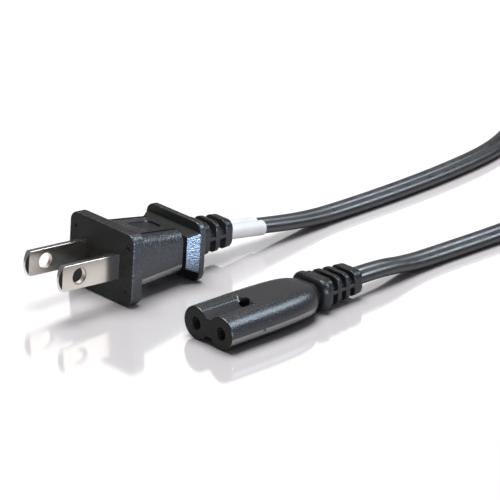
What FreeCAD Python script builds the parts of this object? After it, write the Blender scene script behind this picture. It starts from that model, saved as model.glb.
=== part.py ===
import FreeCAD, Part
import math
import os

# A two-core mains lead: a moulded figure-eight connector on one end of a flat twin cord, and a two-blade
# plug on the other. All sizes are in millimetres.
#
# The connector is the object itself. Its length lies along X, its nose points to -X, and it rests on Z = 0,
# with the origin below its middle. The cord and the plug lie on the same surface.

# Figure-eight nose
socket_spacing = 8.6
lobe_radius = 4.15
notch_height = 2.35
nose_length = 12.4
nose_edge_chamfer = 0.4
socket_entry_radius = 1.5
socket_entry_depth = 1.6
socket_lead_in = 0.3
locating_pocket_length = 2.3
locating_pocket_width = 3.2
locating_pocket_overlap = 1.2

# Grip body behind the nose, drawn in over four stretches
body_end = 31.0
body_grip_length = 8.0
body_waist_length = 5.0
body_shoulder_length = 3.2
body_grip_draw_in = 0.25
body_waist_draw_in = 0.9
body_shoulder_draw_in = 2.0
body_end_draw_in = 3.6
body_shoulder_drop = 0.25
body_end_drop = 0.8

# Neck, collar and strain relief of the connector
neck_length = 1.3
neck_half_width = 4.4
neck_half_height = 2.9
collar_length = 2.7
collar_half_width = 6.2
collar_half_height = 4.05
collar_corner_radius = 3.1
collar_edge_chamfer = 0.45
connector_length = 46.7
relief_base_half_width = 4.9
relief_base_half_height = 3.7
relief_tip_half_width = 4.0
relief_tip_half_height = 3.1
relief_corner_radius = 2.0
relief_tip_chamfer = 0.8
connector_slot_setback = 1.3
connector_slot_width = 1.5
connector_slot_pitch = 2.95
connector_slot_count = 3
rib_thickness = 0.9

# Sheet-metal socket contacts and the insert that holds them
contact_bore_radius = 1.2
contact_wall = 0.35
contact_start = 2.0
contact_tube_length = 9.5
contact_slit = 0.5
contact_neck_length = 1.6
contact_neck_width = 1.6
crimp_length = 4.0
crimp_wall = 0.35
carrier_start = 1.6
carrier_end = 11.0
carrier_wall = 1.0
carrier_web_half_height = 1.4
carrier_web_half_width = 3.2

# Flat twin cord
cord_width = 6.1
cord_thickness = 3.1
cord_floor_gap = 0.01
core_radius = 1.45
core_spacing = 3.0
strand_radius = 0.8
strand_bare_length = 1.2
strand_covered_length = 3.0
core_lead = 3.2
connector_core_straight = 12.0
plug_core_straight = 12.5

# Plug flanges and grip body
front_flange_width = 24.4
front_flange_height = 18.4
front_flange_thickness = 3.4
front_flange_corner = 2.4
flange_draft = 0.25
rear_flange_width = 21.0
rear_flange_height = 15.5
rear_flange_thickness = 1.8
rear_flange_corner = 2.6
rear_flange_front = 22.6
flange_edge_chamfer = 0.3
grip_front_half_width = 9.4
grip_rear_half_width = 8.3
grip_front_half_height = 6.9
grip_rear_half_height = 5.6
grip_corner_radius = 2.6
grip_end = 19.2
moat_width = 0.6
moat_depth = 1.2
ramp_foot_half_width = 8.6
ramp_foot_half_height = 4.1
ramp_rim_half_height = 5.3
ramp_corner_radius = 0.6
groove_width = 0.8
groove_depth = 0.6
groove_start = 7.4
groove_front_offset = 5.75
groove_rear_offset = 5.3
panel_recess_length = 7.2
panel_recess_width = 5.6
panel_recess_depth = 0.4
panel_recess_middle = 13.4

# Strain relief of the plug
plug_relief_end = 39.0
plug_relief_base_half_width = 5.0
plug_relief_base_half_height = 4.5
plug_relief_tip_half_width = 4.1
plug_relief_tip_half_height = 3.6
plug_relief_corner_radius = 2.2
plug_slot_setback = 6.7
plug_slot_width = 1.9
plug_slot_pitch = 3.4
plug_slot_count = 2

# Blades and the bridge that holds them
blade_spacing = 12.7
blade_width = 6.35
blade_thickness = 1.52
blade_length = 18.2
blade_hole_radius = 1.98
blade_hole_from_face = 12.2
blade_tip_radius = 4.5
blade_tip_land = 0.7
blade_tip_bevel_length = 1.5
blade_root = 8.0
blade_tail_width = 3.2
blade_tail_length = 2.0
bridge_front = 1.6
bridge_length = 5.0
bridge_half_width = 8.6
bridge_half_height = 5.2
bridge_corner_radius = 1.0

# Marker sleeve on the cord behind the plug
sleeve_length = 12.5
sleeve_wall = 0.3
sleeve_gap = 0.05

# Where the plug lies
plug_yaw = -1.0
plug_face_x = 1.1
plug_face_y = 39.8

# Put-away coil of the cord
coil_centre_x = 197.0
coil_centre_y = 34.5
coil_radius = 32.2
coil_bundle_width = 13.2
coil_height = 13.8
coil_corner_chamfer = 2.2
coil_entry_run = 15.0
tie_angle = 20.0
tie_width = 4.5
tie_thickness = 0.8

# Clearance between a moulded piece and what lies inside it
seat_gap = 0.05

connector_axis_height = max(lobe_radius, collar_half_height)
relief_start = body_end + neck_length + collar_length
lobe_offset = socket_spacing / 2
contact_outer_radius = contact_bore_radius + contact_wall
contact_end = contact_start + contact_tube_length
crimp_radius = strand_radius + crimp_wall
crimp_start = contact_end + contact_neck_length
plug_crimp_start = blade_root + blade_tail_length
plug_relief_start = rear_flange_front + rear_flange_thickness
plug_tilt = math.degrees(math.atan((front_flange_height - rear_flange_height) / 2
                                   / (plug_relief_start - front_flange_thickness)))


def point(x, y, z):
    return FreeCAD.Vector(x, y, z)


def polyline_face(points):
    return Part.Face(Part.makePolygon(points + [points[0]]))


def rounded_section(x, half_width, half_height, radius):
    """Closed outline of a rounded rectangle across the X axis."""
    radius = min(radius, 0.96 * half_width, 0.96 * half_height)
    edges = []
    for turn, y_side, z_side in ((0, 1, 1), (1, -1, 1), (2, -1, -1), (3, 1, -1)):
        centre = point(x, y_side * (half_width - radius), z_side * (half_height - radius))
        arc = [centre + point(0, radius * math.cos(a), radius * math.sin(a))
               for a in (math.radians(90 * turn + step) for step in (0, 45, 90))]
        edges.append(Part.Arc(*arc).toShape())
    outline = []
    for i, arc in enumerate(edges):
        outline.append(arc)
        outline.append(Part.makeLine(arc.Vertexes[-1].Point, edges[(i + 1) % 4].Vertexes[0].Point))
    return Part.Wire(outline)


def stadium_section(x, half_width, half_height):
    """Closed outline with flat top and bottom and half-round sides, across the X axis."""
    straight = half_width - half_height
    corners = [point(x, straight, half_height), point(x, -straight, half_height),
               point(x, -straight, -half_height), point(x, straight, -half_height)]
    left = Part.Arc(corners[1], point(x, -half_width, 0), corners[2]).toShape()
    right = Part.Arc(corners[3], point(x, half_width, 0), corners[0]).toShape()
    return Part.Wire([Part.makeLine(corners[0], corners[1]), left, Part.makeLine(corners[2], corners[3]), right])


def loft(sections):
    return Part.makeLoft(sections, True, False)


def prism(section, length):
    return Part.Face(section).extrude(point(length, 0, 0))


def rod(start, end, radius, y=0.0):
    """Round bar along X, at a side offset of y."""
    return Part.makeCylinder(radius, end - start, point(start, y, 0), point(1, 0, 0))


def block(start, end, low_y, high_y, low_z, high_z):
    return Part.makeBox(end - start, high_y - low_y, high_z - low_z, point(start, low_y, low_z))


def fuse(shapes):
    return shapes[0].multiFuse(shapes[1:]).removeSplitter()


def edges_at(shape, x, within=0.01):
    """Edges that lie whole in the plane across X at x."""
    return [e for e in shape.Edges
            if abs(e.BoundBox.XMin - x) < within and abs(e.BoundBox.XMax - x) < within]


def rounded_path(points):
    """Path of straight runs joined by tangent arcs, with each arc as large as its two runs allow."""
    edges, radii = [], []
    here = points[0]
    for before, corner, after in zip(points, points[1:], points[2:]):
        back, ahead = before - corner, after - corner
        half_turn = (math.pi - back.getAngle(ahead)) / 2
        reach = 0.45 * min(back.Length, ahead.Length)
        radii.append(reach / math.tan(half_turn))
        back.normalize()
        ahead.normalize()
        start, end = corner + back * reach, corner + ahead * reach
        centre_way = (back + ahead).normalize()
        middle = corner + centre_way * (radii[-1] / math.cos(half_turn) - radii[-1])
        edges += [Part.LineSegment(here, start).toShape(), Part.Arc(start, middle, end).toShape()]
        here = end
    edges.append(Part.LineSegment(here, points[-1]).toShape())
    return Part.Wire(edges), radii


def core_pieces(crimp_at, end, straight, side_offset, side):
    """Insulation and bared strands of one core, and the room that they take in their moulding.

    The core runs straight out of its crimp, swings over, and then lies beside the other core.
    """
    insulation_start = crimp_at + crimp_length + strand_bare_length
    outer, inner = side * side_offset, side * core_spacing / 2
    route = Part.makePolygon([point(insulation_start, outer, 0), point(insulation_start + core_lead, outer, 0),
                              point(end - straight, inner, 0), point(end, inner, 0)])
    start = Part.Wire(Part.makeCircle(core_radius, route.Vertexes[0].Point, point(1, 0, 0)))
    cover = route.makePipeShell([start], True, False, 1)
    strands = rod(crimp_at + seat_gap, insulation_start + strand_covered_length, strand_radius, outer)
    room = fuse([rod(insulation_start - seat_gap, insulation_start + core_lead, core_radius, outer), cover])
    return cover.cut(strands), strands, room


def strain_relief(start, end, base, tip, corner_radius, first_slot, slot_width, slot_pitch, slot_count):
    """Tapered grip round the cord, slotted above and below a flat rib that joins its rings."""
    outer = loft([rounded_section(start, *base, corner_radius), rounded_section(end, *tip, corner_radius)])
    outer = outer.makeChamfer(relief_tip_chamfer, edges_at(outer, end))
    core = prism(stadium_section(start, cord_width / 2 + 0.5, cord_thickness / 2 + 0.5), end - start)
    slots = []
    for i in range(slot_count):
        slot_start = first_slot + i * slot_pitch
        for low, high in ((rib_thickness / 2, 3 * base[1]), (-3 * base[1], -rib_thickness / 2)):
            slots.append(block(slot_start, slot_start + slot_width, -2 * base[0], 2 * base[0], low, high))
    return outer.cut(fuse(slots).cut(core))


def connector_contact(side):
    """Rolled female contact: slit tube for the pin, neck and crimp barrel, in one sheet-metal piece."""
    y = side * lobe_offset
    tube = rod(contact_start, contact_end, contact_outer_radius, y)
    bore = rod(contact_start - 1, contact_end + 1, contact_bore_radius, y)
    tube = tube.cut(bore).cut(block(contact_start - 1, contact_end + 1, y - contact_slit / 2,
                                    y + contact_slit / 2, 0, 2 * contact_outer_radius))
    neck_floor = -contact_outer_radius
    neck = block(contact_end - 0.6, crimp_start + 0.6, y - contact_neck_width / 2, y + contact_neck_width / 2,
                 neck_floor, neck_floor + contact_wall)
    neck = neck.common(rod(contact_start, crimp_start + 1, contact_outer_radius, y))
    barrel = rod(crimp_start, crimp_start + crimp_length, crimp_radius, y)
    barrel = barrel.cut(rod(crimp_start - 1, crimp_start + crimp_length + 1, strand_radius + seat_gap / 2, y))
    foot = block(crimp_start, crimp_start + 0.6, y - contact_neck_width / 2, y + contact_neck_width / 2,
                 neck_floor, -strand_radius - contact_wall / 2)
    foot = foot.common(rod(contact_start, crimp_start + 1, contact_outer_radius, y))
    return fuse([tube, neck, foot, barrel])


def contact_room():
    """Space that the two contacts fill behind their carrier, with the seat clearance."""
    rooms = []
    for side in (1, -1):
        y = side * lobe_offset
        rooms.append(rod(carrier_end - 0.5, crimp_start + crimp_length + strand_bare_length,
                         contact_outer_radius + seat_gap, y))
    return rooms


def contact_carrier(grow=0.0, bored=True):
    """Moulded insert: a sleeve for each contact, joined by a web."""
    start, end = carrier_start - grow, carrier_end + grow
    radius = contact_outer_radius + carrier_wall + grow
    shapes = [rod(start, end, radius, side * lobe_offset) for side in (1, -1)]
    shapes.append(block(start, end, -carrier_web_half_width, carrier_web_half_width,
                        -carrier_web_half_height - grow, carrier_web_half_height + grow))
    body = fuse(shapes)
    if bored:
        for side in (1, -1):
            body = body.cut(rod(start - 1, end + 1, contact_outer_radius + seat_gap, side * lobe_offset))
    return body


def figure_eight(start, end):
    """Nose: two round lobes joined by a lower web."""
    lobes = [rod(start, end, lobe_radius, side * lobe_offset) for side in (1, -1)]
    web = block(start, end, -lobe_offset, lobe_offset, -notch_height, notch_height)
    return fuse(lobes + [web])


def grip_body():
    """Body from the nose to the neck: flat above and below, round at the sides, drawn in towards its end."""
    half_width = lobe_offset + lobe_radius
    grip_end_x = nose_length + body_grip_length
    waist_x = grip_end_x + body_waist_length
    shoulder_x = waist_x + body_shoulder_length
    sections = [stadium_section(nose_length, half_width, lobe_radius),
                stadium_section(grip_end_x, half_width - body_grip_draw_in, lobe_radius),
                stadium_section(waist_x, half_width - body_waist_draw_in, lobe_radius),
                stadium_section(shoulder_x, half_width - body_shoulder_draw_in, lobe_radius - body_shoulder_drop),
                stadium_section(body_end, half_width - body_end_draw_in, lobe_radius - body_end_drop)]
    faces = []
    for face in Part.makeLoft(sections, True, True).Faces:
        # The level strips become true planes, so that the body has a flat face to lie on
        if face.BoundBox.ZLength < seat_gap:
            face = Part.Face(Part.Plane(face.CenterOfMass, face.normalAt(0, 0)), face.OuterWire)
        faces.append(face)
    return Part.Solid(Part.makeShell(faces))


def connector_shell(rooms):
    """One overmoulding: nose, grip body, neck, collar and strain relief."""
    nose = figure_eight(0, nose_length)
    nose = nose.makeChamfer(nose_edge_chamfer, edges_at(nose, 0))
    collar_start = body_end + neck_length
    neck = prism(stadium_section(body_end - 1, neck_half_width, neck_half_height), neck_length + 2)
    collar = prism(rounded_section(collar_start, collar_half_width, collar_half_height, collar_corner_radius),
                   collar_length)
    rims = edges_at(collar, collar_start) + edges_at(collar, relief_start)
    collar = collar.makeChamfer(collar_edge_chamfer, rims)
    relief = strain_relief(relief_start - 0.5, connector_length,
                           (relief_base_half_width, relief_base_half_height),
                           (relief_tip_half_width, relief_tip_half_height), relief_corner_radius,
                           relief_start + connector_slot_setback, connector_slot_width,
                           connector_slot_pitch, connector_slot_count)
    shell = fuse([nose, grip_body(), neck, collar, relief])
    pocket_start = nose_length - locating_pocket_overlap
    for side in (1, -1):
        low = carrier_web_half_height + seat_gap
        pocket = Part.makeBox(locating_pocket_length, locating_pocket_width, 2 * lobe_radius,
                              point(pocket_start, -locating_pocket_width / 2, low))
        upright = [e for e in pocket.Edges if e.BoundBox.ZLength > lobe_radius]
        pocket = pocket.makeFillet(0.45 * locating_pocket_length, upright)
        if side < 0:
            pocket.rotate(point(0, 0, 0), point(1, 0, 0), 180)
        shell = shell.cut(pocket)
    for side in (1, -1):
        y = side * lobe_offset
        shell = shell.cut(rod(-1, socket_entry_depth + 1, socket_entry_radius, y))
        lead_in = Part.makeCone(socket_entry_radius + socket_lead_in, socket_entry_radius, socket_lead_in,
                                point(0, y, 0), point(1, 0, 0))
        shell = shell.cut(lead_in)
    return shell.cut(fuse(rooms))


def blade(side):
    """Flat blade with a round-nosed bevelled tip and a hole, and the tail and crimp barrel behind it."""
    y = side * blade_spacing / 2
    half_width, half_thickness = blade_width / 2, blade_thickness / 2
    body = block(-blade_length, blade_root, y - half_thickness, y + half_thickness, -half_width, half_width)
    tip_x = blade_tip_radius - blade_length
    nose = Part.makeCylinder(blade_tip_radius, blade_thickness, point(tip_x, y - half_thickness, 0), point(0, 1, 0))
    behind = block(tip_x, blade_root, y - half_thickness, y + half_thickness, -half_width, half_width)
    body = body.common(fuse([nose, behind]))
    bevel_depth = (blade_thickness - blade_tip_land) / 2
    for way in (1, -1):
        face_y = y + way * half_thickness
        wedge = polyline_face([point(-blade_length, face_y - way * bevel_depth, -half_width),
                               point(blade_tip_bevel_length - blade_length, face_y, -half_width),
                               point(-blade_length, face_y, -half_width)])
        body = body.cut(wedge.extrude(point(0, 0, blade_width)))
    body = body.cut(Part.makeCylinder(blade_hole_radius, 2 * blade_thickness,
                                      point(-blade_hole_from_face, y - blade_thickness, 0), point(0, 1, 0)))
    tail = block(blade_root - 0.5, plug_crimp_start + 0.5, y - half_thickness, y + half_thickness,
                 -blade_tail_width / 2, blade_tail_width / 2)
    tail = tail.common(rod(blade_root - 1, plug_crimp_start + 1, blade_tail_width / 2, y))
    barrel = rod(plug_crimp_start, plug_crimp_start + crimp_length, crimp_radius, y)
    bore = rod(plug_crimp_start, plug_crimp_start + crimp_length + 1, strand_radius + seat_gap / 2, y)
    return fuse([body, tail, barrel]).cut(bore)


def blade_room():
    """Space that the blades fill in the plug, with the seat clearance."""
    rooms = []
    half_thickness = blade_thickness / 2 + seat_gap
    for side in (1, -1):
        y = side * blade_spacing / 2
        rooms.append(block(-1, blade_root + seat_gap, y - half_thickness, y + half_thickness,
                           -blade_width / 2 - seat_gap, blade_width / 2 + seat_gap))
        rooms.append(rod(blade_root, plug_crimp_start + crimp_length + strand_bare_length,
                         blade_tail_width / 2 + seat_gap, y))
    return rooms


def blade_bridge(grow=0.0):
    section = rounded_section(bridge_front - grow, bridge_half_width + grow, bridge_half_height + grow,
                              bridge_corner_radius + grow)
    return prism(section, bridge_length + 2 * grow)


def flange(start, thickness, width, height, corner):
    """Upright plate with rounded corners, slightly wider at the mould's parting plane."""
    half_width, half_height = width / 2, height / 2
    outline = polyline_face([point(start, half_width, 0), point(start, half_width - flange_draft, half_height),
                             point(start, flange_draft - half_width, half_height), point(start, -half_width, 0),
                             point(start, flange_draft - half_width, -half_height),
                             point(start, half_width - flange_draft, -half_height)])
    plate = outline.extrude(point(thickness, 0, 0))
    corners = [e for e in plate.Edges
               if e.BoundBox.XLength > 0.9 * thickness and abs(e.BoundBox.ZMin) > 0.5 * half_height]
    plate = plate.makeFillet(corner, corners)
    rims = edges_at(plate, start) + edges_at(plate, start + thickness)
    return plate.makeChamfer(flange_edge_chamfer, rims)


def grip_top(x):
    """Height of the grip's top at x; it drops towards the rear."""
    share = (x - front_flange_thickness) / (grip_end - front_flange_thickness)
    return grip_front_half_height + share * (grip_rear_half_height - grip_front_half_height)


def top_groove(side):
    """One of the two lengthwise grooves in the top of the grip, which draw together towards the rear."""
    corners = []
    for x, offset in ((groove_start, groove_front_offset), (grip_end, groove_rear_offset)):
        for way in (1, -1):
            corners.append(point(x, side * offset + way * groove_width / 2, grip_top(x) - groove_depth))
    face = polyline_face([corners[0], corners[1], corners[3], corners[2]])
    return face.extrude(point(0, 0, 3 * groove_depth))


def panel_recess():
    """Shallow plain recess in the middle of the grip's top."""
    recess = Part.makeBox(panel_recess_length, panel_recess_width, 2,
                          point(-panel_recess_length / 2, -panel_recess_width / 2, 0))
    recess = recess.makeFillet(0.25 * panel_recess_width, [e for e in recess.Edges if e.BoundBox.ZLength > 1])
    slope = math.atan((grip_top(0) - grip_top(1)))
    recess.rotate(point(0, 0, 0), point(0, 1, 0), math.degrees(slope))
    recess.translate(point(panel_recess_middle, 0, grip_top(panel_recess_middle) - panel_recess_depth))
    return recess


def plug_shell(rooms):
    """One overmoulding: front flange, grip, rear flange with finger ramps, and strain relief."""
    front = flange(0, front_flange_thickness, front_flange_width, front_flange_height, front_flange_corner)
    rear = flange(rear_flange_front, rear_flange_thickness, rear_flange_width, rear_flange_height,
                  rear_flange_corner)
    grip = loft([rounded_section(front_flange_thickness, grip_front_half_width, grip_front_half_height,
                                 grip_corner_radius),
                 rounded_section(grip_end, grip_rear_half_width, grip_rear_half_height, grip_corner_radius)])
    grip = grip.makeChamfer(flange_edge_chamfer, edges_at(grip, grip_end))
    ramp_start = grip_end + moat_width
    moat = prism(rounded_section(grip_end - 1, grip_rear_half_width - moat_depth,
                                 grip_rear_half_height - moat_depth, grip_corner_radius), moat_width + 2)
    ramps = loft([rounded_section(ramp_start, ramp_foot_half_width, ramp_foot_half_height, ramp_corner_radius),
                  rounded_section(rear_flange_front + flange_edge_chamfer, rear_flange_width / 2
                                  - flange_edge_chamfer, ramp_rim_half_height, ramp_corner_radius)])
    relief = strain_relief(plug_relief_start - 0.5, plug_relief_end,
                           (plug_relief_base_half_width, plug_relief_base_half_height),
                           (plug_relief_tip_half_width, plug_relief_tip_half_height),
                           plug_relief_corner_radius, plug_relief_start + plug_slot_setback, plug_slot_width,
                           plug_slot_pitch, plug_slot_count)
    shell = fuse([front, grip, moat, ramps, rear, relief])
    shell = shell.cut(fuse([top_groove(1), top_groove(-1), panel_recess()]))
    return shell.cut(fuse(rooms))


def plug_placement():
    """The plug lies on the lower edges of its two flanges, so its cord end is lower."""
    tilt = math.radians(plug_tilt)
    height = front_flange_height / 2 * math.cos(tilt) + front_flange_thickness * math.sin(tilt)
    turn = FreeCAD.Rotation(point(0, 0, 1), plug_yaw).multiply(FreeCAD.Rotation(point(0, 1, 0), plug_tilt))
    return FreeCAD.Placement(point(plug_face_x - connector_length / 2, plug_face_y, height), turn)


def cord_points():
    """Middle line of the cord's two open stretches, each from its strain relief to the coil."""
    rest = cord_thickness / 2 + cord_floor_gap
    half = connector_length / 2
    connector_side = [point(half, 0, connector_axis_height), point(33, 0.0, connector_axis_height),
                      point(43.5, 1.1, 2.1), point(55, 1.6, rest), point(77, 1.2, rest), point(110, 2.3, rest),
                      point(147, 1.6, rest)]
    place = plug_placement()
    exit_point = place.multVec(point(plug_relief_end, 0, 0))
    first_point = place.multVec(point(plug_relief_end + 18, 0, 0))
    plug_side = [exit_point, first_point, point(53.5, 39.1, 1.75), point(76, 39.3, rest),
                 point(98, 40.8, rest), point(118, 43.9, rest), point(134.5, 51.4, rest)]
    return connector_side, plug_side


def flat_tube(points, half_width, half_thickness, name):
    """Flat cord swept along its route with its wide side level."""
    path, radii = rounded_path(points)
    way = (points[1] - points[0]).normalize()
    side = point(0, 0, 1).cross(way).normalize()
    up = way.cross(side)
    profile = Part.Face(stadium_section(0, half_width, half_thickness))
    turn = FreeCAD.Matrix(way.x, side.x, up.x, points[0].x, way.y, side.y, up.y, points[0].y,
                          way.z, side.z, up.z, points[0].z, 0, 0, 0, 1)
    tube = path.makePipe(profile.transformed(turn))
    expected = profile.Area * path.Length
    print(name, "length", round(path.Length, 1), "least radius", round(min(radii), 1),
          "volume over section times length", round(tube.Volume / expected, 4))
    return tube, path.Length


def run_into_coil(tube, points, coil):
    """Carry the cord's last run on, straight, until it meets the coil."""
    way = (points[-1] - points[-2]).normalize()
    end_face = min(tube.Faces, key=lambda face: (face.CenterOfMass - points[-1]).Length)
    last_run = end_face.extrude(way * coil_entry_run).cut(coil)
    nearest = min(last_run.Solids, key=lambda solid: (solid.CenterOfMass - points[-1]).Length)
    return tube.fuse(nearest).removeSplitter()


def coil_ring(inset=0.0):
    """Revolved bundle of turns with bevelled corners, or the same ring with its section drawn in by inset."""
    inner, outer = coil_radius - coil_bundle_width / 2 + inset, coil_radius + coil_bundle_width / 2 - inset
    low, high = inset, coil_height - inset
    cut = coil_corner_chamfer
    section = polyline_face([point(inner + cut, 0, low), point(outer - cut, 0, low), point(outer, 0, low + cut),
                             point(outer, 0, high - cut), point(outer - cut, 0, high),
                             point(inner + cut, 0, high), point(inner, 0, high - cut), point(inner, 0, low + cut)])
    ring = section.revolve(point(0, 0, 0), point(0, 0, 1), 360)
    ring.translate(point(coil_centre_x - connector_length / 2, coil_centre_y, 0))
    return ring


def coil_and_tie():
    """Closed solid of the coil's turns, drawn in where the tie goes round it, and the tie."""
    centre = point(coil_centre_x - connector_length / 2, coil_centre_y, 0)
    band = Part.makeBox(coil_bundle_width + 4, tie_width, coil_height + 4,
                        centre + point(coil_radius - coil_bundle_width / 2 - 2, -tie_width / 2, -2))
    band.rotate(centre, point(0, 0, 1), tie_angle)
    outer = coil_ring()
    tie = outer.cut(coil_ring(tie_thickness)).common(band)
    return outer.cut(tie), tie


def marker_sleeve():
    """White sleeve on the cord, against the plug's strain relief."""
    start = plug_relief_end + sleeve_gap
    inner = prism(stadium_section(start - 1, cord_width / 2 + sleeve_gap, cord_thickness / 2 + sleeve_gap),
                  sleeve_length + 2)
    outer = prism(stadium_section(start, cord_width / 2 + sleeve_gap + sleeve_wall,
                                  cord_thickness / 2 + sleeve_gap + sleeve_wall), sleeve_length)
    return outer.cut(inner)


def connector_nodes():
    nodes = {}
    rooms = contact_room() + [contact_carrier(seat_gap, False)]
    for side, name in ((1, "left"), (-1, "right")):
        insulation, strands, room = core_pieces(crimp_start, connector_length, connector_core_straight,
                                                lobe_offset, side)
        nodes["connector_core_" + name] = insulation
        nodes["connector_strands_" + name] = strands
        nodes["socket_contact_" + name] = connector_contact(side)
        rooms.append(room)
    nodes["contact_carrier"] = contact_carrier()
    nodes["connector_shell"] = connector_shell(rooms)
    shift = point(-connector_length / 2, 0, connector_axis_height)
    return {name: shape.translated(shift) for name, shape in nodes.items()}


def plug_nodes():
    nodes = {}
    rooms = blade_room() + [blade_bridge(seat_gap)]
    for side, name in ((1, "left"), (-1, "right")):
        insulation, strands, room = core_pieces(plug_crimp_start, plug_relief_end, plug_core_straight,
                                                blade_spacing / 2, side)
        nodes["plug_core_" + name] = insulation
        nodes["plug_strands_" + name] = strands
        nodes["blade_" + name] = blade(side)
        rooms.append(room)
    nodes["blade_bridge"] = blade_bridge().cut(fuse(blade_room()))
    nodes["plug_shell"] = plug_shell(rooms)
    nodes["marker_sleeve"] = marker_sleeve()
    place = plug_placement().toMatrix()
    return {name: shape.transformed(place) for name, shape in nodes.items()}


def cord_nodes():
    coil, tie = coil_and_tie()
    connector_side, plug_side = cord_points()
    nodes = {"cord_coil": coil, "coil_tie": tie}
    total = 0.0
    for name, points in (("cord_at_connector", connector_side), ("cord_at_plug", plug_side)):
        tube, length = flat_tube(points, cord_width / 2, cord_thickness / 2, name)
        nodes[name] = run_into_coil(tube, points, coil)
        total += length
    print("open cord", round(total, 1))
    return nodes


def main():
    os.makedirs("parts", exist_ok=True)
    for nodes in (connector_nodes(), plug_nodes(), cord_nodes()):
        for name, shape in nodes.items():
            if not shape.isValid() or len(shape.Solids) != 1:
                print(name, "valid", shape.isValid(), "solids", len(shape.Solids))
            shape.exportStep("parts/" + name + ".step")


main()
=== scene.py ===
import bpy
import bmesh
import math
from mathutils import Matrix, Vector


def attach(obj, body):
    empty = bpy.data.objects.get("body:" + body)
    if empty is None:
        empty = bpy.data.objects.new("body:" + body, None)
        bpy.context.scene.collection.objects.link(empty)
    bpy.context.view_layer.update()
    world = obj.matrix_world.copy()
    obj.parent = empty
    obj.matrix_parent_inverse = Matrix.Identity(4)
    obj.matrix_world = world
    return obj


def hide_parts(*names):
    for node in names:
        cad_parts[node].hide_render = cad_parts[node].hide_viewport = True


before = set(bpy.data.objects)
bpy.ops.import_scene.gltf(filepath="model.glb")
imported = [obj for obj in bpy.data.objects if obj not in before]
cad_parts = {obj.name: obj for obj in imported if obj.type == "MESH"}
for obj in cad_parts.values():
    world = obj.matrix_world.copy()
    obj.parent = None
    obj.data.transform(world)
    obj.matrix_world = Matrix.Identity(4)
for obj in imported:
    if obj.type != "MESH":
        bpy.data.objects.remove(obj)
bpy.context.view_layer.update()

MM = 0.001

# Camera, fitted to the photograph
photo_width = 500
focal_pixels = 3630.0
sensor_width = 36.0
view_distance = 0.9
view_elevation = math.radians(21.95)
view_heading = math.radians(47.4)
view_roll = math.radians(0.39)
view_target = Vector((23.93, 37.08, 0.0)) * MM

# Place of each moulding: the middle of its front face, and the way it is turned
connector_place = Matrix.Translation(Vector((-23.35, 0, 4.15)) * MM)
plug_yaw = math.radians(-1.0)
plug_tilt = math.radians(3.95)
plug_place = (Matrix.Translation(Vector((-22.25, 39.8, 9.412)) * MM)
              @ Matrix.Rotation(plug_yaw, 4, "Z") @ Matrix.Rotation(plug_tilt, 4, "Y"))

# Flat twin cord
cord_width = 6.1 * MM
cord_thickness = 3.1 * MM
tie_thickness = 0.8 * MM

# Coil of the unseen length
coil_centre = Vector((173.65, 34.5, 0.0)) * MM
coil_radius = 32.2 * MM
coil_columns = 4
coil_rows = 2
column_pitch = 3.25 * MM
row_pitch = 6.25 * MM
points_per_turn = 14

# Sizes that several shapes share, in millimetres; hidden_ease rounds a rim inside another shape
parting_drop = 0.35
hidden_ease = 0.05
weld_distance = 0.001

# Normals under these, along X and along Z, mark a face as a front and as an underside; undersides get
# painted shade
facing_forward = -0.7
facing_down = -0.5


# Materials

def new_material(name):
    material = bpy.data.materials.new(name)
    material.use_nodes = True
    tree = material.node_tree
    return material, tree, tree.nodes["Principled BSDF"]


def node(tree, kind, **inputs):
    made = tree.nodes.new(kind)
    for name, value in inputs.items():
        made.inputs[name].default_value = value
    return made


def noise(tree, scale, detail):
    """Noise in object space; scale is in cells per metre."""
    place = tree.nodes.new("ShaderNodeTexCoord")
    made = node(tree, "ShaderNodeTexNoise", Scale=scale, Detail=detail)
    tree.links.new(place.outputs["Object"], made.inputs["Vector"])
    return made


def vary(tree, pattern, target, low, high):
    """Run one input of the shader from low to high over the middle of a pattern."""
    made = tree.nodes.new("ShaderNodeValToRGB")
    for stop, position, colour in zip(made.color_ramp.elements, (0.3, 0.7), (low, high)):
        stop.position = position
        stop.color = (*colour, 1)
    tree.links.new(pattern.outputs["Fac"], made.inputs["Fac"])
    tree.links.new(made.outputs["Color"], target)


def bump(tree, pattern, shader, distance, strength=1.0):
    made = node(tree, "ShaderNodeBump", Strength=strength, Distance=distance)
    tree.links.new(pattern.outputs["Fac"], made.inputs["Height"])
    tree.links.new(made.outputs["Normal"], shader.inputs["Normal"])


def grey(value):
    return (value, value, value)


def scaled(colour, factor):
    return tuple(factor * channel for channel in colour)


def plastic(name, colour, rough, grain_depth, grain_size, ior=1.5, painted_tint=(1, 1, 1)):
    """Moulded plastic with a grain and slightly uneven colour and gloss; the last colour is painted into
    its highlights as a tint.
    """
    patches_per_metre, gloss_patches_per_grain = 90.0, 1.3
    darker, lighter = 0.85, 1.18
    smoother, rougher = 0.06, 0.10
    material, tree, shader = new_material(name)
    patches = noise(tree, patches_per_metre, detail=3.0)
    vary(tree, patches, shader.inputs["Base Color"], scaled(colour, darker), scaled(colour, lighter))
    gloss = noise(tree, gloss_patches_per_grain / grain_size, detail=2.0)
    vary(tree, gloss, shader.inputs["Roughness"], grey(rough - smoother), grey(rough + rougher))
    grain = noise(tree, 1.0 / grain_size, detail=1.0)
    bump(tree, grain, shader, grain_depth)
    shader.inputs["IOR"].default_value = ior
    shader.inputs["Specular Tint"].default_value = (*painted_tint, 1)
    return material


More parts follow.
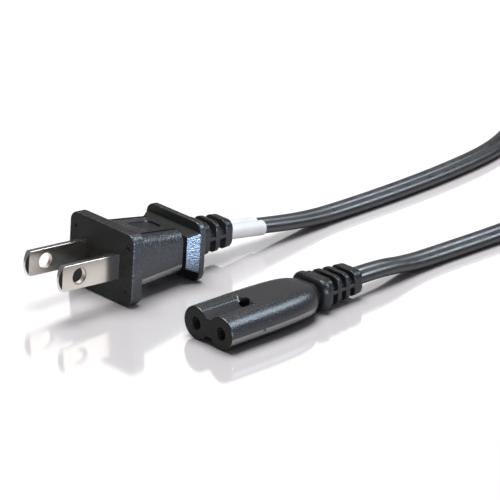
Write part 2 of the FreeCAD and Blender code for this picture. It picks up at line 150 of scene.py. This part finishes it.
def metal(name, colour, rough):
    """Plated sheet metal with faint lengthwise brushing and darker clouds."""
    lines_per_metre = (150.0, 6000.0, 6000.0)
    line_depth, line_strength = 0.000004, 0.5
    clouds_per_metre, darker = 220.0, 0.93
    smoother, rougher = 0.04, 0.06
    material, tree, shader = new_material(name)
    place = tree.nodes.new("ShaderNodeTexCoord")
    stretch = tree.nodes.new("ShaderNodeMapping")
    stretch.inputs["Scale"].default_value = lines_per_metre
    tree.links.new(place.outputs["Object"], stretch.inputs["Vector"])
    lines = node(tree, "ShaderNodeTexNoise", Scale=1.0, Detail=2.0)
    tree.links.new(stretch.outputs["Vector"], lines.inputs["Vector"])
    clouds = noise(tree, clouds_per_metre, detail=3.0)
    vary(tree, clouds, shader.inputs["Base Color"], scaled(colour, darker), colour)
    vary(tree, lines, shader.inputs["Roughness"], grey(rough - smoother), grey(rough + rougher))
    bump(tree, lines, shader, line_depth, line_strength)
    shader.inputs["Metallic"].default_value = 1.0
    return material


# Colour, roughness, depth and size of the grain in metres, index of refraction, painted tint of the
# highlights
connector_plastic = plastic("connector_plastic", (0.017, 0.017, 0.018), 0.27, 0.00005, 0.00042, 1.58)
lower_plastic = plastic("connector_lower_plastic", (0.014, 0.014, 0.015), 0.20, 0.00008, 0.0006, 3.3)
# Darker, duller copy of the connector's plastic for faces turned down: painted shade under the connector
underside_painted_shade = plastic("underside_painted_shade", (0.006, 0.006, 0.006), 0.5, 0.00004, 0.0003, 1.25)
face_plastic = plastic("nose_face_plastic", (0.012, 0.011, 0.009), 0.5, 0.00006, 0.0003, 1.3)
valley_plastic = plastic("valley_plastic", (0.016, 0.016, 0.018), 0.55, 0.00012, 0.0005, 1.35)
tail_plastic = plastic("tail_plastic", (0.010, 0.010, 0.011), 0.30, 0.00007, 0.00045, 1.45)
plug_plastic = plastic("plug_plastic", (0.012, 0.012, 0.012), 0.32, 0.00016, 0.0006, 1.65)
plug_face_plastic = plastic("plug_face_plastic", (0.012, 0.012, 0.010), 0.5, 0.00006, 0.0003, 1.3)
# Finger ramps: black plastic with a coarser grain, and highlights tinted blue, a painted blue sheen
ramp_painted_blue_highlights = plastic("ramp_painted_blue_highlights", (0.014, 0.014, 0.015), 0.36, 0.00021, 0.00042, 2.7,
                       (0.70, 0.84, 1.0))
cord_plastic = plastic("cord_plastic", (0.016, 0.016, 0.018), 0.33, 0.000004, 0.0030, 1.85)
core_plastic = plastic("core_plastic", (0.05, 0.05, 0.052), 0.45, 0.00001, 0.0005)
insert_plastic = plastic("insert_plastic", (0.012, 0.012, 0.012), 0.5, 0.00001, 0.0004)
sleeve_plastic = plastic("sleeve_plastic", (0.50, 0.49, 0.51), 0.5, 0.000004, 0.0008)
tie_plastic = plastic("tie_plastic", (0.02, 0.02, 0.02), 0.45, 0.000008, 0.0005)

# Colour and roughness
blade_metal = metal("blade_metal", (0.97, 0.91, 0.84), 0.20)
# Near-black copy of the blade metal for the bevels and the hole's chamfer: painted dark reflection
bevel_painted_dark_reflection = metal("bevel_painted_dark_reflection", (0.05, 0.045, 0.045), 0.35)
sheared_metal = metal("sheared_metal", (0.90, 0.83, 0.74), 0.45)
contact_metal = metal("contact_metal", (0.72, 0.66, 0.52), 0.3)
strand_copper = metal("strand_copper", (0.85, 0.45, 0.30), 0.3)

# Finishes of each piece that is built here; the first is on every face that gets no other
connector_finishes = [connector_plastic, lower_plastic, face_plastic, valley_plastic, underside_painted_shade,
                      tail_plastic]
plug_finishes = [plug_plastic, plug_face_plastic, ramp_painted_blue_highlights, lower_plastic, tail_plastic]
blade_finishes = [blade_metal, bevel_painted_dark_reflection, sheared_metal]

# Solids that are shown as they are
node_materials = {
    "contact_carrier": insert_plastic,
    "socket_contact_left": contact_metal,
    "socket_contact_right": contact_metal,
    "connector_core_left": core_plastic,
    "connector_core_right": core_plastic,
    "connector_strands_left": strand_copper,
    "connector_strands_right": strand_copper,
    "blade_bridge": insert_plastic,
    "plug_core_left": core_plastic,
    "plug_core_right": core_plastic,
    "plug_strands_left": strand_copper,
    "plug_strands_right": strand_copper,
    "coil_tie": tie_plastic,
}
for name, material in node_materials.items():
    solid = bpy.data.objects[name]
    solid.data.materials.clear()
    solid.data.materials.append(material)


# Shapes, built in millimetres along X round their own axis

def rounded_outline(half_width, half_height, radius, steps=8):
    """Rounded rectangle across X."""
    least_radius = 0.02
    radius = max(min(radius, half_width, half_height), least_radius)
    points = []
    for quarter, (y_side, z_side) in enumerate(((1, 1), (-1, 1), (-1, -1), (1, -1))):
        for i in range(steps + 1):
            angle = math.radians(90 * (quarter + i / steps))
            points.append((y_side * (half_width - radius) + radius * math.cos(angle),
                           z_side * (half_height - radius) + radius * math.sin(angle)))
    return points


def two_lobe_outline(half_spacing, radius, notch, sunk=0.0):
    """Two round lobes joined by a web; a web as high as the lobes gives flat top and bottom.

    The walls of the valley lie lower than the round by sunk, and a fine groove runs along their edge.
    Each side has a point just above and below the middle, for the parting line.
    """
    steps = 20

    # Turns from the top of a lobe toward the valley, each with its depth: spare ends at the web
    spare = math.pi / 2 - math.asin(min(notch / radius, 1.0))
    edge = 0.47 * spare
    groove = [(0.20 * edge, 0.0), (0.27 * edge, 0.7 * sunk), (0.34 * edge, 0.0)]
    wall = [(edge, 0.0), (1.22 * edge, sunk), (0.8 * spare, sunk), (spare, 0.0)]
    turns = [(0.0, 0.0)] + groove + [(0.6 * edge, 0.0)] + wall

    parting = math.asin(parting_drop / radius)
    sides = sorted([math.pi * (i / steps - 0.5) for i in range(1, steps)] + [-parting, parting])
    rounds = [(-math.pi / 2 - turn, depth) for turn, depth in reversed(turns)]
    rounds += [(angle, 0.0) for angle in sides]
    rounds += [(math.pi / 2 + turn, depth) for turn, depth in turns]
    right = [(half_spacing + (radius - depth) * math.cos(angle), (radius - depth) * math.sin(angle))
             for angle, depth in rounds]
    return right + [(-y, -z) for y, z in right]


def skin(shape, rings):
    """Close a row of outlines, each with its x and equally many points, into one solid."""
    loops = [[shape.verts.new((x, y, z)) for y, z in outline] for x, outline in rings]
    for before, after in zip(loops, loops[1:]):
        for i in range(len(before)):
            j = (i + 1) % len(before)
            shape.faces.new((before[i], before[j], after[j], after[i]))
    shape.faces.new(list(reversed(loops[0])))
    shape.faces.new(loops[-1])
    return shape


def eased_stations(start, end, ease_start, ease_end):
    """Places along a bar with the inset that the rounding of its rims takes there."""
    steps = 5
    turns = [math.radians(90 * i / steps) for i in range(steps + 1)]
    shares = [(1 - math.cos(turn), 1 - math.sin(turn)) for turn in turns]
    ahead = [(start + ease_start * along, ease_start * inward) for along, inward in shares]
    back = [(end - ease_end * along, ease_end * inward) for along, inward in reversed(shares)]
    return ahead + back


def bar(shape, start, end, first, last, ease_start, ease_end):
    """Bar along X with rounded rims; a section is half width, half height and corner."""
    rings = []
    for x, inset in eased_stations(start, end, ease_start, ease_end):
        share = (x - start) / (end - start)
        half_width, half_height, corner = (a + share * (b - a) - inset for a, b in zip(first, last))
        rings.append((x, rounded_outline(half_width, half_height, corner)))
    return skin(shape, rings)


def round_cutter(stations, middle=0.0):
    """Stepped round cutter along X; a station is a place and a radius."""
    count = 40
    turns = [2 * math.pi * i / count for i in range(count)]
    rings = []
    for x, radius in stations:
        rings.append((x, [(middle + radius * math.cos(turn), radius * math.sin(turn)) for turn in turns]))
    return skin(bmesh.new(), rings)


def upright_cutter(outline, low, high, middle_x=0.0, middle_y=0.0):
    """Cutter with an outline seen from above, between two heights."""
    cutter = skin(bmesh.new(), [(low, outline), (high, outline)])
    for vertex in cutter.verts:
        z, x, y = vertex.co
        vertex.co = (middle_x + x, middle_y + y, z)
    return cutter


def pocket_cutter(start, centre, radius, low, high):
    """Upright cutter with a straight end at start and a round end about centre."""
    steps = 8
    lean = math.acos((start - centre) / radius)
    turns = [lean * i / steps for i in range(-steps, steps + 1)]
    return upright_cutter([(centre + radius * math.cos(turn), radius * math.sin(turn)) for turn in turns],
                          low, high)


def block_cutter(corner_a, corner_b, round_upright=0.0):
    """Upright cutter between two opposite corners, with rounded upright edges."""
    (x0, y0, z0), (x1, y1, z1) = corner_a, corner_b
    outline = rounded_outline((x1 - x0) / 2, (y1 - y0) / 2, round_upright)
    return upright_cutter(outline, z0, z1, (x0 + x1) / 2, (y0 + y1) / 2)


def as_object(name, shape):
    """Object of a shape, with its faces turned outward."""
    bmesh.ops.recalc_face_normals(shape, faces=shape.faces)
    mesh = bpy.data.meshes.new(name)
    shape.to_mesh(mesh)
    shape.free()
    made = bpy.data.objects.new(name, mesh)
    bpy.context.scene.collection.objects.link(made)
    return made


def carve(shape, cutters):
    """Cut closed shapes out of a closed shape."""
    bmesh.ops.remove_doubles(shape, verts=shape.verts, dist=weld_distance)
    body = as_object("uncut", shape)
    tools = [as_object("cutter", cutter) for cutter in cutters]
    for tool in tools:
        cut = body.modifiers.new("cut", "BOOLEAN")
        cut.operation = "DIFFERENCE"
        cut.solver = "EXACT"
        cut.object = tool
    result = bpy.data.meshes.new_from_object(body.evaluated_get(bpy.context.evaluated_depsgraph_get()))
    carved = bmesh.new()
    carved.from_mesh(result)
    bpy.data.meshes.remove(result)
    for used in tools + [body]:
        data = used.data
        bpy.data.objects.remove(used)
        bpy.data.meshes.remove(data)
    return carved


def join(shapes):
    """Collect several shapes in one."""
    whole = bmesh.new()
    for shape in shapes:
        bmesh.ops.recalc_face_normals(shape, faces=shape.faces)
        part = bpy.data.meshes.new("part")
        shape.to_mesh(part)
        shape.free()
        whole.from_mesh(part)
        bpy.data.meshes.remove(part)
    return whole


def finish_piece(name, shape, place, finishes, replaced):
    """Shade a shape, put it at its place in metres, attach it to the root body, and hide the solid that it
    stands for.

    Edges are crisp where they are steep or where two finishes meet; flat faces stay flat beside their rims.
    """
    crisp_angle = math.radians(32)
    bmesh.ops.remove_doubles(shape, verts=shape.verts, dist=weld_distance)
    for face in shape.faces:
        face.smooth = True
    for edge in shape.edges:
        meeting = {face.material_index for face in edge.link_faces}
        edge.smooth = len(meeting) == 1 and edge.calc_face_angle(math.pi) < crisp_angle
    piece = as_object(name, shape)
    mesh = piece.data
    mesh.transform(place @ Matrix.Scale(MM, 4))
    for material in finishes:
        mesh.materials.append(material)
    even = piece.modifiers.new("even_shading", "WEIGHTED_NORMAL")
    even.keep_sharp = True
    even.weight = 100
    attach(piece, "root")
    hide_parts(replaced)
    return piece


def slotted_relief(start, end, base, tip, corner, first_slot, slot_width, pitch, count, end_ease):
    """Tapered grip round the cord: rounded rings and an end block on a core, joined by a flat rib."""
    lead_in, ring_ease, overlap = 0.4, 0.3, 0.5
    core_cover, core_corner = 0.5, 2.0
    rib_inset, rib_half_height, rib_corner = 0.1, 0.45, 0.3

    def section(x):
        share = (x - start) / (end - start)
        return tuple(a + share * (b - a) for a, b in zip(base, tip)) + (corner,)

    def rib_section(x):
        return (section(x)[0] - rib_inset, rib_half_height, rib_corner)

    shape = bmesh.new()
    ring_start, ease_start = start - lead_in, hidden_ease
    for i in range(count):
        ring_end = first_slot + i * pitch
        bar(shape, ring_start, ring_end, section(ring_start), section(ring_end), ease_start, ring_ease)
        ring_start, ease_start = ring_end + slot_width, ring_ease
    bar(shape, ring_start, end, section(ring_start), section(end), ring_ease, end_ease)
    core = (cord_width / MM / 2 + core_cover, cord_thickness / MM / 2 + core_cover, core_corner)
    core_end = ring_start + overlap
    bar(shape, start, core_end, core, core, hidden_ease, hidden_ease)
    bar(shape, start, core_end, rib_section(start), rib_section(core_end), hidden_ease, hidden_ease)
    return shape


# Connector

def nose_rings(spacing, radius, notch, valley_end, nose_length):
    """Outlines of the nose: the valley between the lobes, and its rise to the height of the body."""
    rim, groove, rises = 0.45, 0.16, 8
    rings = []
    for x, inset in eased_stations(0, valley_end, rim, 0.0):
        sunk = groove if x > rim else 0.0
        rings.append((x, two_lobe_outline(spacing, radius - inset, notch - inset, sunk)))
    for i in range(1, rises):
        web = notch + (radius - notch) * math.sin(math.radians(90 * i / rises))
        x = valley_end + (nose_length - valley_end) * i / rises
        rings.append((x, two_lobe_outline(spacing, radius, web, groove * (1 - i / rises))))
    return rings


def body_rings(spacing, radius, start, end):
    """Outlines of the grip body, which narrows along its length and is drawn in at its end."""
    narrowing, end_narrowing, end_lowering = 1.6, 2.0, 0.8
    stretches = 24
    rings = []
    for i in range(stretches + 1):
        share = i / stretches
        half_width = spacing + radius - narrowing * share ** 2 - end_narrowing * share ** 9
        half_height = radius - end_lowering * share ** 9
        x = start + share * (end - start)
        rings.append((x, two_lobe_outline(half_width - half_height, half_height, half_height)))
    return rings


def connector_body(body_end):
    """Nose and grip body in one skin, with socket entries, locating pockets and two nicks cut in."""
    valley_end, nose_length = 10.95, 12.6
    spacing, radius, notch = 4.3, 4.15, 2.35
    face_depth, valley_reach, pocket_wall = 0.5, 2.3, 0.2
    lower_edge = -0.9 * parting_drop
    entry = [(-1, 1.8), (0, 1.8), (0.3, 1.5), (1.62, 1.5), (1.62, 2.0), (11.6, 2.0)]
    pocket_start, pocket_centre, pocket_radius = 11.0, 11.1, 1.6
    pocket_floor, pocket_top = 1.45, 6.0
    nick_start, nick_end = 9.9, 10.7
    nick_floor, nick_top = -0.85, -parting_drop + 0.1
    nick_side, nick_depth = 8.42, 0.35
    cutters = [round_cutter(entry, side * spacing) for side in (1, -1)]
    for low, high in ((pocket_floor, pocket_top), (-pocket_top, -pocket_floor)):
        cutters.append(pocket_cutter(pocket_start, pocket_centre, pocket_radius, low, high))
    for side in (1, -1):
        cutters.append(block_cutter((nick_start, side * nick_side - nick_depth, nick_floor),
                                    (nick_end, side * nick_side + nick_depth, nick_top)))
    rings = nose_rings(spacing, radius, notch, valley_end, nose_length)
    rings += body_rings(spacing, radius, nose_length, body_end)
    carved = carve(skin(bmesh.new(), rings), cutters)
    for face in carved.faces:
        centre = face.calc_center_median()
        if centre.x < face_depth and face.normal.x < facing_forward:
            face.material_index = connector_finishes.index(face_plastic)
        # Faces turned down take the darker underside plastic: painted shade
        elif face.normal.z < facing_down:
            face.material_index = connector_finishes.index(underside_painted_shade)
        elif centre.z < lower_edge and (abs(centre.y) > spacing or centre.x > nose_length):
            face.material_index = connector_finishes.index(lower_plastic)
        elif centre.x < valley_end - pocket_wall and abs(centre.y) < valley_reach:
            face.material_index = connector_finishes.index(valley_plastic)
    return carved


def connector_tail(body_end):
    """Neck, collar and strain relief; they lie a little to one side of the body, as the cord pulls them."""
    neck_start, collar_start, relief_start, end = 30.6, 32.3, 35.0, 46.7
    neck_section, collar_section = (4.4, 2.9, 2.85), (6.2, 4.05, 3.1)
    collar_swing, end_return = 0.45, 0.2
    neck = bar(bmesh.new(), neck_start, collar_start + 0.3, neck_section, neck_section,
               ease_start=hidden_ease, ease_end=hidden_ease)
    collar = bar(bmesh.new(), collar_start, relief_start, collar_section, collar_section,
                 ease_start=1.3, ease_end=0.9)
    relief = slotted_relief(relief_start, end, base=(5.0, 3.75), tip=(4.1, 3.15), corner=2.0,
                            first_slot=relief_start + 1.3, slot_width=1.5, pitch=2.95, count=3,
                            end_ease=0.8)
    tail = join([neck, collar, relief])
    for face in tail.faces:
        face.material_index = connector_finishes.index(tail_plastic)
    for vertex in tail.verts:
        x = vertex.co.x
        swung = min(max((x - body_end) / (collar_start - body_end), 0.0), 1.0)
        returned = max(x - relief_start, 0.0) / (end - relief_start)
        vertex.co.y += collar_swing * swung - end_return * returned
    return tail


def build_connector():
    body_end = 31.0
    shape = join([connector_body(body_end), connector_tail(body_end)])
    return finish_piece("connector", shape, connector_place, connector_finishes, "connector_shell")


# Plug

def flange(start, end, half_width, half_height, corner, ease):
    """Upright plate with rounded rims, slightly wider at the mould's parting plane and lower at its top."""
    side_draft, top_drop = 0.25, 0.3
    section = (half_width, half_height, corner)
    plate = bar(bmesh.new(), start, end, section, section, ease, ease)
    for vertex in plate.verts:
        vertex.co.y -= math.copysign(side_draft * abs(vertex.co.z) / half_height, vertex.co.y)
        vertex.co.z -= top_drop * max(vertex.co.z, 0.0) / half_height
    return plate


def front_flange():
    """Front flange with the marks that the mould's ejector pins leave in it."""
    plate = flange(0, 3.4, half_width=12.2, half_height=9.2, corner=2.4, ease=0.45)
    mark_stations = [(-1, 0.45), (0.3, 0.45), (0.45, 0.15)]
    marks = []
    for y, z in ((-9.6, 5.6), (-10.4, 5.3), (-9.6, -5.6), (9.6, 5.6), (9.6, -5.6)):
        mark = round_cutter(mark_stations)
        bmesh.ops.translate(mark, verts=mark.verts, vec=(0, y, z))
        marks.append(mark)
    return carve(plate, marks)


def plug_grip():
    """Grip between the flanges, with two grooves and a plain recess in its top."""
    start, end, top_start = 3.0, 19.2, 3.4
    top, end_top = 6.9, 5.6
    slope = (top - end_top) / (end - top_start)
    groove_start, groove_side, groove_drift = 7.4, 5.75, 0.45
    steepest, flattest = -0.6, -0.08
    grip = bar(bmesh.new(), start, end, first=(9.43, 6.93, 3.0), last=(8.3, end_top, 3.0),
               ease_start=hidden_ease, ease_end=0.4)
    cutters = []
    for side in (1, -1):
        groove = block_cutter((groove_start, -0.4, -0.6), (end + 2, 0.4, 3), 0.1)
        for vertex in groove.verts:
            x, y, z = vertex.co
            drift = groove_drift * (x - groove_start) / (end - groove_start)
            vertex.co = (x, side * (groove_side - drift) + y, top - slope * (x - top_start) + z)
        cutters.append(groove)
    recess = block_cutter((9.8, -2.8, -0.4), (17.0, 2.8, 3), 1.4)
    for vertex in recess.verts:
        vertex.co.z += top - slope * (vertex.co.x - top_start)
    carved = carve(grip, cutters + [recess])
    for face in carved.faces:
        if steepest < face.normal.z < flattest and abs(face.normal.y) > 0.5:
            face.material_index = plug_finishes.index(lower_plastic)
    return carved


def rear_of_plug():
    """Narrow neck behind the grip, finger ramps, rear flange and strain relief."""
    neck_section = (7.1, 4.4, 2.6)
    neck = bar(bmesh.new(), 19.0, 20.0, neck_section, neck_section,
               ease_start=hidden_ease, ease_end=hidden_ease)
    ramps = bar(bmesh.new(), 19.8, 22.9, first=(8.6, 4.1, 0.6), last=(10.3, 5.3, 0.6),
                ease_start=0.1, ease_end=hidden_ease)
    bmesh.ops.recalc_face_normals(ramps, faces=ramps.faces)
    for face in ramps.faces:
        # Ramp faces that are not turned up take the plastic with painted blue highlights
        finish = plug_face_plastic if face.normal.z > 0.5 else ramp_painted_blue_highlights
        face.material_index = plug_finishes.index(finish)
    rear = flange(22.6, 24.4, half_width=10.5, half_height=7.75, corner=2.6, ease=0.4)
    relief = slotted_relief(24.4, 39.0, base=(5.0, 4.5), tip=(4.1, 3.6), corner=2.2,
                            first_slot=31.1, slot_width=1.9, pitch=3.4, count=2, end_ease=0.7)
    for face in relief.faces:
        face.material_index = plug_finishes.index(tail_plastic)
    return [neck, ramps, rear, relief]


def build_plug():
    """Plug in one piece; its seam is a fine line along both sides of the grip."""
    seam = bar(bmesh.new(), 3.2, 19.0, first=(9.50, 0.10, 0.04), last=(8.40, 0.10, 0.04),
               ease_start=0.02, ease_end=0.02)
    shape = join([front_flange(), plug_grip(), seam] + rear_of_plug())
    for face in shape.faces:
        if face.normal.x < facing_forward:
            face.material_index = plug_finishes.index(plug_face_plastic)
    return finish_piece("plug", shape, plug_place, plug_finishes, "plug_shell")


def blade_stations(length, half_width, bevel_length):
    """Places along the blade with its half width there: round nose, end of the bevel, root."""
    nose_radius, first_turn, steps = 4.5, math.radians(4), 12
    root, least_gap = 1.0, 0.06
    widest = math.asin(half_width / nose_radius)
    turns = [first_turn + (widest - first_turn) * i / steps for i in range(steps + 1)]
    nose = [(nose_radius - length - nose_radius * math.cos(turn), nose_radius * math.sin(turn))
            for turn in turns]
    bevel_end = bevel_length - length
    bevel_reach = math.sqrt(nose_radius ** 2 - (nose_radius - bevel_length) ** 2)
    clear = [station for station in nose if abs(station[0] - bevel_end) > least_gap]
    return sorted(clear + [(bevel_end, bevel_reach), (root, half_width)])


def build_blade(side, name, replaced):
    """Flat blade with a round nose, bevelled on both faces, and a hole."""
    length, half_width, bevel_length = 18.2, 3.175, 0.9
    half_thickness, tip_half_thickness, corner, corner_steps = 0.76, 0.38, 0.12, 3
    half_spacing, hole_place, hole_radius, rim = 6.35, -12.2, 1.98, 0.12
    rim_radius = hole_radius + rim
    rings = []
    for x, reach in blade_stations(length, half_width, bevel_length):
        share = min((x + length) / bevel_length, 1.0)
        across = tip_half_thickness + share * (half_thickness - tip_half_thickness)
        rings.append((x, rounded_outline(across, min(reach, half_width), corner, corner_steps)))
    hole = round_cutter([(-2, rim_radius), (-half_thickness, rim_radius),
                         (rim - half_thickness, hole_radius), (half_thickness - rim, hole_radius),
                         (half_thickness, rim_radius), (2, rim_radius)])
    for vertex in hole.verts:
        across, y, z = vertex.co
        vertex.co = (hole_place + y, across, z)
    shape = carve(skin(bmesh.new(), rings), [hole])
    for face in shape.faces:
        spans = [math.hypot(vertex.co.x - hole_place, vertex.co.z) for vertex in face.verts]
        # Chamfers round the hole and bevels near the nose take the near-black metal: painted dark
        # reflection
        if max(spans) < rim_radius + 0.01:
            finish = sheared_metal if abs(face.normal.y) < 0.3 else bevel_painted_dark_reflection
            face.material_index = blade_finishes.index(finish)
        elif abs(face.normal.y) > 0.9 and face.calc_center_median().x < bevel_length - length:
            face.material_index = blade_finishes.index(bevel_painted_dark_reflection)
    bmesh.ops.translate(shape, verts=shape.verts, vec=(0, side * half_spacing, 0))
    return finish_piece(name, shape, plug_place, blade_finishes, replaced)


connector = build_connector()
plug = build_plug()
blades = [build_blade(1, "blade_left_visual", "blade_left"),
          build_blade(-1, "blade_right_visual", "blade_right")]


# Cord

# Height of its axis where it lies on the floor, and points of its two runs to the coil, in millimetres
rest = 1.56
connector_run = [(22.5, 0.25, 4.15), (33, 0.25, 4.15), (43.5, 1.1, 2.1), (55, 1.6, rest), (77, 1.2, rest),
                 (110, 2.3, rest), (147, 1.6, rest)]
plug_run = [(15.6, 39.14, 6.55), (22, 38.95, 5.8), (29.3, 38.6, 4.7), (37, 38.4, 3.5), (45, 38.6, 2.4),
            (54, 39.1, 1.6), (76, 39.3, rest), (98, 40.8, rest), (118, 43.9, rest), (134.5, 51.4, rest)]


def coil_turns():
    """Places of the coil: turns beside and on each other, from the connector's run to the plug's run.

    Each layer starts with a stretch of plain circle, and then winds outward or back inward.
    """
    start, end = math.radians(270), math.radians(115)
    plain_turn = 0.5
    turns = coil_columns * coil_rows
    sweep = (turns - 1) * 2 * math.pi + (end - start) % (2 * math.pi)
    count = int(round(sweep / (2 * math.pi) * points_per_turn))
    points = []
    for i in range(count + 1):
        angle = start + sweep * i / count
        done = (angle - start) / (2 * math.pi)
        layer = min(int(done / coil_columns), coil_rows - 1)
        across = done - layer * coil_columns
        step = min(max(across - plain_turn, 0.0), coil_columns - 1.0)
        offset = (step - (coil_columns - 1) / 2) * column_pitch
        radius = coil_radius + (-offset if layer % 2 else offset)
        height = tie_thickness + cord_width / 2 + layer * row_pitch
        points.append(Vector((coil_centre.x + radius * math.cos(angle),
                              coil_centre.y + radius * math.sin(angle), height)))
    return points


def cord_outline(half_width, half_height):
    """Two round lobes joined by a web, with a furrow between them on each side."""
    furrow_depth = 0.7 * MM
    side_steps, top_steps = 16, 24
    web = half_height - furrow_depth
    lobe = half_width - half_height
    half = []
    for i in range(side_steps + 1):
        angle = math.radians(-90 + 180 * i / side_steps)
        half.append((lobe + half_height * math.cos(angle), half_height * math.sin(angle)))
    for i in range(1, top_steps):
        x = lobe * (1 - i / (top_steps / 2))
        beside = lobe - abs(x)
        half.append((x, max(math.sqrt(max(half_height ** 2 - beside ** 2, 0.0)), web)))
    return half + [(-x, -y) for x, y in half]


def cord_section(name, growth=0.0):
    """Hidden curve of the cord's outline, grown by the given distance."""
    outline = cord_outline(cord_width / 2 + growth, cord_thickness / 2 + growth)
    curve = bpy.data.curves.new(name, "CURVE")
    curve.dimensions = "2D"
    spline = curve.splines.new("POLY")
    spline.points.add(len(outline) - 1)
    for target, (x, y) in zip(spline.points, outline):
        target.co = (x, y, 0, 1)
    spline.use_cyclic_u = True
    section = bpy.data.objects.new(name, curve)
    bpy.context.scene.collection.objects.link(section)
    section.hide_render = True
    section.hide_viewport = True
    return section


def swept(name, points, wound, section, material):
    """Flat cord along a smooth open curve; the points in wound stand on edge."""
    curve = bpy.data.curves.new(name, "CURVE")
    curve.dimensions = "3D"
    curve.twist_mode = "Z_UP"
    spline = curve.splines.new("NURBS")
    spline.points.add(len(points) - 1)
    for i, (target, place) in enumerate(zip(spline.points, points)):
        target.co = (*place, 1)
        target.tilt = math.radians(90) if i in wound else 0.0
    spline.order_u = 3
    spline.use_endpoint_u = True
    spline.resolution_u = 8
    curve.bevel_mode = "OBJECT"
    curve.bevel_object = section
    curve.use_fill_caps = True
    curve.materials.append(material)
    made = bpy.data.objects.new(name, curve)
    bpy.context.scene.collection.objects.link(made)
    return made


def build_cord():
    ahead = [Vector(point) * MM for point in connector_run]
    back = [Vector(point) * MM for point in reversed(plug_run)]
    turns = coil_turns()
    wound = range(len(ahead), len(ahead) + len(turns))
    cord = swept("cord", ahead + turns + back, wound, cord_section("cord_section"), cord_plastic)
    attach(cord, "root")
    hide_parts("cord_at_connector", "cord_at_plug", "cord_coil")
    return cord


def build_sleeve():
    """White sleeve on the first stretch of the cord behind the plug."""
    stretch, growth = plug_run[:7], 0.35 * MM
    start_share, end_share = 0.012, 0.205
    points = [Vector(point) * MM for point in stretch]
    sleeve = swept("sleeve", points, (), cord_section("sleeve_section", growth), sleeve_plastic)
    sleeve.data.bevel_factor_mapping_start = "SPLINE"
    sleeve.data.bevel_factor_mapping_end = "SPLINE"
    sleeve.data.bevel_factor_start = start_share
    sleeve.data.bevel_factor_end = end_share
    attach(sleeve, "root")
    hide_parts("marker_sleeve")
    return sleeve


sleeve = build_sleeve()
cord = build_cord()


# Floor and background

def white_floor():
    size = 6.0
    corners = [(-size, -size, 0), (size, -size, 0), (size, size, 0), (-size, size, 0)]
    mesh = bpy.data.meshes.new("floor")
    mesh.from_pydata(corners, [], [(0, 1, 2, 3)])
    floor = bpy.data.objects.new("floor", mesh)
    bpy.context.scene.collection.objects.link(floor)
    material, tree, shader = new_material("floor_gloss")
    shader.inputs["Base Color"].default_value = (0.68, 0.665, 0.675, 1)
    shader.inputs["Roughness"].default_value = 0.09
    shader.inputs["IOR"].default_value = 2.4
    mesh.materials.append(material)
    return floor


def background():
    """World that is white to the camera and dim to everything else."""
    world = bpy.data.worlds.new("studio")
    bpy.context.scene.world = world
    world.use_nodes = True
    tree = world.node_tree
    tree.nodes.clear()
    output = tree.nodes.new("ShaderNodeOutputWorld")
    plain = node(tree, "ShaderNodeBackground", Color=(1, 1, 1, 1), Strength=1.0)
    room = node(tree, "ShaderNodeBackground", Color=(0.97, 0.92, 1.0, 1), Strength=0.15)
    rays = tree.nodes.new("ShaderNodeLightPath")
    choose = tree.nodes.new("ShaderNodeMixShader")
    tree.links.new(rays.outputs["Is Camera Ray"], choose.inputs[0])
    tree.links.new(room.outputs[0], choose.inputs[1])
    tree.links.new(plain.outputs[0], choose.inputs[2])
    tree.links.new(choose.outputs[0], output.inputs["Surface"])


floor = white_floor()
background()


# Lights

# Their colours, and the places and aims that some of them share
white = (1, 1, 1)
warm = (1, 0.98, 0.95)
cool = (0.72, 0.87, 1.0)
plug_blue = (0.66, 0.78, 1.0)
connector_blue = (0.75, 0.85, 1.0)
middle = (0.02, 0.03, 0)
behind = (0.85, 0.95, 0.46)
low_left, low_aim = (-0.15, -0.56, 0.06), (0.0, 0.03, 0.01)


def area_light(name, place, aim, size, power, colour, only=()):
    """Softbox with its width and height; with only given, it lights those objects alone."""
    light = bpy.data.lights.new(name, "AREA")
    light.shape = "RECTANGLE"
    light.size, light.size_y = size
    light.energy = power
    light.color = colour
    lamp = bpy.data.objects.new(name, light)
    lamp.location = place
    lamp.rotation_euler = (Vector(aim) - Vector(place)).to_track_quat("-Z", "Y").to_euler()
    bpy.context.scene.collection.objects.link(lamp)
    if only:
        receivers = bpy.data.collections.new(name + "_receivers")
        for lit in only:
            receivers.objects.link(lit)
        lamp.light_linking.receiver_collection = receivers


area_light("overhead", (0.12, 0.22, 1.05), middle, (0.7, 0.7), 15.0, white)
area_light("backdrop", behind, middle, (2.0, 1.0), 9.0, white, [floor])
area_light("top_card", behind, middle, (2.0, 1.0), 1.1, white, [connector, cord])
area_light("side_box", (0.63, -0.37, 0.70), (0.0, 0.02, 0), (0.42, 0.42), 5.7, cool,
           [connector, plug, cord, sleeve] + blades)
area_light("blade_card", (0.55, -0.60, 0.33), (-0.03, 0.035, 0), (0.5, 0.4), 0.85, warm, blades)
area_light("sleeve_card", (0.15, -0.60, 0.25), (0.02, 0.04, 0), (0.5, 0.5), 2.8, white, [sleeve])
area_light("plug_strip", low_left, low_aim, (0.8, 0.14), 11.0, plug_blue, [plug])
area_light("connector_strip", low_left, low_aim, (0.8, 0.14), 5.0, connector_blue, [connector])


# Camera

def add_camera():
    along = Vector((math.cos(view_heading), math.sin(view_heading), 0))
    sight = along * math.cos(view_elevation) - Vector((0, 0, math.sin(view_elevation)))
    level = sight.cross(Vector((0, 0, 1))).normalized()
    upright = level.cross(sight)
    across = level * math.cos(view_roll) + upright * math.sin(view_roll)
    above = upright * math.cos(view_roll) - level * math.sin(view_roll)
    data = bpy.data.cameras.new("camera")
    data.sensor_width = sensor_width
    data.lens = sensor_width * focal_pixels / photo_width
    data.clip_start = 0.05
    data.clip_end = 50.0
    camera = bpy.data.objects.new("camera", data)
    turn = Matrix((across, above, -sight)).transposed().to_4x4()
    turn.translation = view_target - sight * view_distance
    camera.matrix_world = turn
    bpy.context.scene.collection.objects.link(camera)
    bpy.context.scene.camera = camera


add_camera()
bpy.context.scene.view_settings.view_transform = "Standard"
